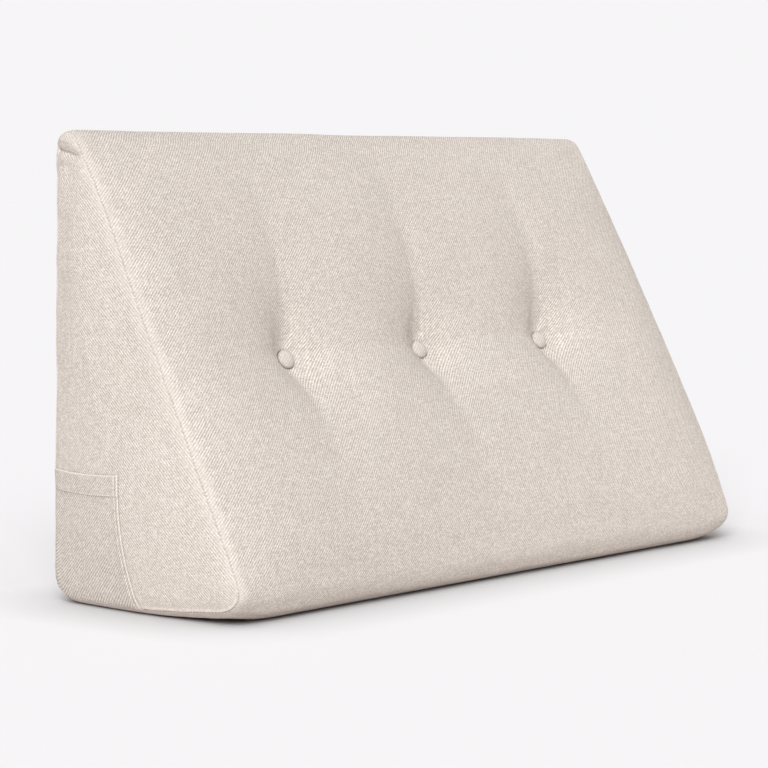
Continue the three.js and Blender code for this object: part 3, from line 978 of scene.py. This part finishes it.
# The cloth's thickness, the rise to a second layer, and the gap under the first
CLOTH, LAYER, CLEAR = 0.75 * MM, 0.9 * MM, 0.3 * MM

# Steps of the cloth's grid: round the fold, under it, over it, and off it and off the stitches
FOLD_STEPS = 6
UNDER_STEP, GRID_STEP, OFF_FOLD = 1.6 * MM, 2.4 * MM, 0.8 * MM
BESIDE_STITCH = np.array([-1.4, -0.7, 0, 0.7, 1.4]) * MM


def cloth_steps(turned, whole, stitch):
    """Cloth distances from the turned-under edge, round the fold at 0, to the sewn edge."""
    arc = np.linspace(-1, 1, FOLD_STEPS + 1) * LAYER * math.pi / 4
    under = np.arange(-turned, arc[0] - MM, UNDER_STEP)
    over = np.arange(arc[-1] + OFF_FOLD, whole - GRID_STEP / 2, GRID_STEP)
    over = over[np.abs(over - stitch) > 2 * OFF_FOLD]
    beside = stitch + BESIDE_STITCH
    return np.sort(np.concatenate([under, arc, over, beside[beside > arc[-1]], [whole]]))


def folded(steps):
    """How far each step lies in from the fold, and its share of the way up to the top layer."""
    half = LAYER / 2
    angle = np.clip(steps / half, -math.pi / 2, math.pi / 2)
    inward = half * (1 - np.cos(angle)) + np.maximum(np.abs(steps) - half * math.pi / 2, 0)
    return inward, (1 + np.sin(angle)) / 2


# How often a place is worked out again with the flare at its height, and how often the outward
# directions under the cloth are evened out
FLARE_ROUNDS, NORMAL_ROUNDS = 3, 5


def pocket_place(along, up):
    """A place square to the side panel, from shares of the way back and of the way up."""
    back = BACK - SEWN_IN
    high = up * FRONT_TOP
    for _ in range(FLARE_ROUNDS):
        flare = FLARE * (1 - min(high / FRONT_TOP, 1)) ** 2
        front = BACK - POCKET_WIDTH - flare
        y = front + (back - front) * along
        into = min(max(y - (back - SEWN_RADIUS), 0), SEWN_RADIUS)
        low = SEWN_UP + SEWN_RADIUS - math.sqrt(SEWN_RADIUS ** 2 - into ** 2)
        top = FRONT_TOP + (BACK_TOP - FRONT_TOP) * along
        top -= SAG * 4 * along * (1 - along)
        high = low + (top - low) * up
    return y, high


# How the layers lie: the back seam presses them to a share of their height, each row of stitches
# presses them in, the open top stands off, and the sewn edges sink. Each has its reach.
PRESSED, PRESSED_REACH = 0.3, 28 * MM
EDGE_PRESSED, EDGE_REACH = 0.40 * MM, 0.7 * MM
HEM_PRESSED, HEM_REACH = 0.45 * MM, 0.8 * MM
OPEN, OPEN_REACH = 0.35 * MM, 14 * MM
SUNK, SUNK_REACH = 0.95 * MM, 3.5 * MM


def lift_of_layer(a, b, a_top, b_top, to_back, sewn):
    """How far the middle of the cloth lies off the wedge. The back seam presses it flat."""
    doubled_a = a_top * (1 - smooth_step(TURNED_UNDER - MM, TURNED_UNDER + MM, a))
    doubled_b = b_top * (1 - smooth_step(HEM - MM, HEM + MM, b))
    pressed = PRESSED + (1 - PRESSED) * smooth_step(0, PRESSED_REACH, to_back)
    lift = CLEAR + CLOTH / 2 + LAYER * pressed * (doubled_a * b_top + doubled_b)
    if a > 0 and b > 0:
        lift -= EDGE_PRESSED * bell(a, EDGE_STITCH, EDGE_REACH)
        lift -= HEM_PRESSED * bell(b, HEM_STITCH, HEM_REACH)
        lift += OPEN * smooth_step(OPEN_REACH, 0, b)
    return lift - SUNK * (1 - smooth_step(0, SUNK_REACH, sewn))


# The pocket is laid on the side panel along lines that start this far off it
OFF_SIDE = 40 * MM


def side_at(tree, y, z):
    """Point and outward direction of the wedge's left side, from a place square to it."""
    start = Vector((WEDGE_BOX[0].x - OFF_SIDE, y, z))
    return tree.ray_cast(start, Vector((1, 0, 0)))[:2]


def cloth_grid(a_steps, b_steps):
    """A flat grid of the cloth with its map, and each point's column and row."""
    columns, rows = len(a_steps) - 1, len(b_steps) - 1
    bm = bmesh.new()
    bmesh.ops.create_grid(bm, x_segments=columns, y_segments=rows, size=1)
    cell = {vert: (round((vert.co.x + 1) / 2 * columns), round((vert.co.y + 1) / 2 * rows))
            for vert in bm.verts}
    cloth = bm.loops.layers.uv.new("cloth")
    for face in bm.faces:
        for loop in face.loops:
            column, row = cell[loop.vert]
            loop[cloth].uv = (-a_steps[column], -b_steps[row])
    return bm, cell


def stitch_rows(cell, normals, a_steps, b_steps):
    """Both rows of stitches, as places in order on top of the cloth, with outward directions."""
    edge, hem = {}, {}
    for vert, (column, row) in cell.items():
        place = (vert.co + normals[vert] * CLOTH / 2, normals[vert])
        if abs(a_steps[column] - EDGE_STITCH) < SAME_PLACE and b_steps[row] > MM:
            edge[row] = place
        if abs(b_steps[row] - HEM_STITCH) < SAME_PLACE and a_steps[column] > MM:
            hem[column] = place
    return [[line[step] for step in sorted(line)] for line in (edge, hem)]


def lay_pocket(tree):
    """The pocket's folded cloth on the side panel, and its rows of stitches."""
    width = POCKET_WIDTH + FLARE / 3 - SEWN_IN
    tall = FRONT_TOP - SEWN_UP
    a_steps = cloth_steps(TURNED_UNDER, width, EDGE_STITCH)
    b_steps = cloth_steps(HEM, tall, HEM_STITCH)
    (a_in, a_top), (b_in, b_top) = folded(a_steps), folded(b_steps)
    bm, cell = cloth_grid(a_steps, b_steps)

    normals = {}
    for vert, (column, row) in cell.items():
        along, up = a_in[column] / a_in[-1], 1 - b_in[row] / b_in[-1]
        vert.co, normals[vert] = side_at(tree, *pocket_place(along, up))
    for _ in range(NORMAL_ROUNDS):
        normals = {vert: sum((normals[edge.other_vert(vert)] for edge in vert.link_edges),
                             normals[vert] * 2).normalized() for vert in bm.verts}
    for vert, (column, row) in cell.items():
        a, b, to_back = a_steps[column], b_steps[row], a_in[-1] - a_in[column]
        sewn = min(to_back, b_in[-1] - b_in[row])
        lift = lift_of_layer(a, b, a_top[column], b_top[row], to_back, sewn)
        vert.co += normals[vert] * float(lift)
    rows = stitch_rows(cell, normals, a_steps, b_steps)

    twice = [f for f in bm.faces
             if max(a_steps[cell[v][0]] for v in f.verts) < SAME_PLACE
             and max(b_steps[cell[v][1]] for v in f.verts) < SAME_PLACE]
    bmesh.ops.delete(bm, geom=twice, context="FACES")
    if sum((face.normal for face in bm.faces), Vector()).x > 0:
        bmesh.ops.reverse_faces(bm, faces=bm.faces)
    return bm, rows


def make_pocket(wedge):
    under = bmesh_of(wedge.data)
    bm, rows = lay_pocket(BVHTree.FromBMesh(under))
    under.free()
    pocket = mesh_object("side_pocket", bm)
    made_real(pocket, "SOLIDIFY", thickness=CLOTH, offset=0)
    return pocket, rows


# Stitches of sewing thread: how far apart they are, and half the size of each
STITCH_STEP, STITCH = 3.4 * MM, Vector((1.35, 0.27, 0.2)) * MM


def on_line(distance, at, values):
    """The values of a line of points, read off at some distance along it."""
    return Vector([np.interp(distance, at, column) for column in values.T])


def make_stitching(name, rows):
    """Short stitches of sewing thread along each row, sunk a little into the cloth."""
    bm = bmesh.new()
    for row in rows:
        places, outs = (np.array(part) for part in zip(*row))
        at = distances_along(places)
        for start in np.arange(STITCH_STEP, at[-1] - STITCH_STEP, STITCH_STEP):
            way = on_line(start + MM, at, places) - on_line(start - MM, at, places)
            way, out = way.normalized(), on_line(start, at, outs).normalized()
            turn = Matrix((way, out.cross(way), out)).transposed().to_4x4()
            place = Matrix.Translation(on_line(start, at, places)) @ turn
            place = place @ Matrix.Diagonal((*STITCH, 1))
            bmesh.ops.create_icosphere(bm, subdivisions=1, radius=1, matrix=place)
    return mesh_object(name, bm)


def thread(name):
    """Twisted sewing thread."""
    n = material_nodes(name)
    body = n.node("ShaderNodeTexCoord", {}).outputs["Object"]
    tone = n.fade(n.noise(body, 900.0), 0.3, 0.7, 0.82, 1.05)
    n.fill(n.shader, {
        "Base Color": n.shade(THREAD, tone), "Normal": n.bump(tone, 0.6, 0.1 * MM),
        "Roughness": 0.7, "Specular IOR Level": 0.3})
    return n.owner


cushion = make_cushion()
cushion.data.materials.append(twill("oatmeal_twill", contrast=0.87, details=seam_shade_and_highlights))
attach(cushion, "root")
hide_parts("cushion")

pocket, stitches = make_pocket(cushion)
pocket.data.materials.append(twill("pocket_twill", contrast=0.9, details=pocket_shade_and_highlights))
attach(pocket, "root")
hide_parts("pocket")

stitching = make_stitching("pocket_stitching", stitches)
stitching.data.materials.append(thread("sewing_thread"))
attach(stitching, "root")

button_twill = twill("button_twill", contrast=0.45)
for name, seat in BUTTONS.items():
    button = make_button(name, seat)
    button.data.materials.append(button_twill)
    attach(button, "root")
    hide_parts(name)


# Camera, light and floor

CAMERA_AT = Vector((-2.2024, -1.9013, 0.4479))
CAMERA_TURN = math.radians(-48.34)
CAMERA_PITCH = math.radians(4.63)
LENS, SENSOR = 119.07, 36


def aimed(name, data, way):
    """A camera or light that looks along a direction."""
    obj = link(bpy.data.objects.new(name, data))
    obj.rotation_mode = "QUATERNION"
    obj.rotation_quaternion = way.to_track_quat("-Z", "Y")
    return obj


def make_camera():
    data = bpy.data.cameras.new("camera")
    set_all(data, {"lens": LENS, "sensor_width": SENSOR})
    level = math.cos(CAMERA_PITCH)
    camera = aimed("camera", data, Vector((
        -math.sin(CAMERA_TURN) * level, math.cos(CAMERA_TURN) * level, -math.sin(CAMERA_PITCH))))
    camera.location = CAMERA_AT
    bpy.context.scene.camera = camera


# The room's light, the shade that it has as a backdrop, and one broad light from high on the
# left. The floor's shade is set so that, under both lights, it is as bright as the backdrop.
ROOM_LIGHT = 0.66
ROOM_COLOR = (1.02, 0.988, 0.97, 1)
BACKDROP = 0.93
BACKDROP_COLOR = (1.0, 0.985, 1.0, 1)
KEY_LIGHT = 3.05
KEY_COLOR = (0.98, 0.99, 1.01)
KEY_FROM = Vector((-0.65, -0.47, 0.60)).normalized()
KEY_SPREAD = math.radians(35)


def make_room():
    """Even light from all round, which looks like a plain pale backdrop."""
    world = bpy.data.worlds.new("studio")
    n = Nodes(world)
    light = n.fill(n.tree.nodes["Background"], {"Color": ROOM_COLOR, "Strength": ROOM_LIGHT})
    backdrop = n.node("ShaderNodeBackground", {"Color": BACKDROP_COLOR, "Strength": BACKDROP})
    mix = n.node("ShaderNodeMixShader", {0: n.seen(), 1: light.outputs[0], 2: backdrop.outputs[0]})
    n.fill(n.tree.nodes["World Output"], {"Surface": mix.outputs[0]})
    bpy.context.scene.world = world
    bpy.context.scene.view_settings.view_transform = "Standard"


def make_key():
    data = bpy.data.lights.new("key", "SUN")
    set_all(data, {"energy": KEY_LIGHT, "angle": KEY_SPREAD, "color": KEY_COLOR})
    aimed("key", data, -KEY_FROM)


# The floor has a painted shadow close to the pillow, by this share and within this distance. The
# light that it casts back is this much lighter and warmer than what the camera sees, up to a most.
FLOOR_RADIUS = 40
NEAR_SHADOW_SHARE, NEAR_SHADOW_REACH = 0.5, 100 * MM
CAST_LIFT, CAST_MOST = (1.16, 1.1, 1.06), 0.95


def make_floor():
    bm = bmesh.new()
    bmesh.ops.create_circle(bm, cap_ends=True, segments=96, radius=FLOOR_RADIUS)
    floor = mesh_object("floor", bm)
    key_share = KEY_LIGHT * KEY_FROM.z / math.pi
    pale = [BACKDROP * seen / (ROOM_LIGHT * room + key_share * key)
            for seen, room, key in zip(BACKDROP_COLOR[:3], ROOM_COLOR, KEY_COLOR)] + [1]
    cast = [min(shade * lift, CAST_MOST) for shade, lift in zip(pale, CAST_LIFT)] + [1]
    n = material_nodes("pale_floor")
    # Painted shadow on the floor round the pillow
    near = n.node("ShaderNodeAmbientOcclusion", {"Color": pale, "Distance": NEAR_SHADOW_REACH})
    seen = n.mix(NEAR_SHADOW_SHARE, pale, near.outputs["Color"])
    n.fill(n.shader, {"Base Color": n.mix(n.seen(), cast, seen), "Roughness": 1.0,
                      "Specular IOR Level": 0})
    floor.data.materials.append(n.owner)


make_camera()
make_room()
make_key()
make_floor()
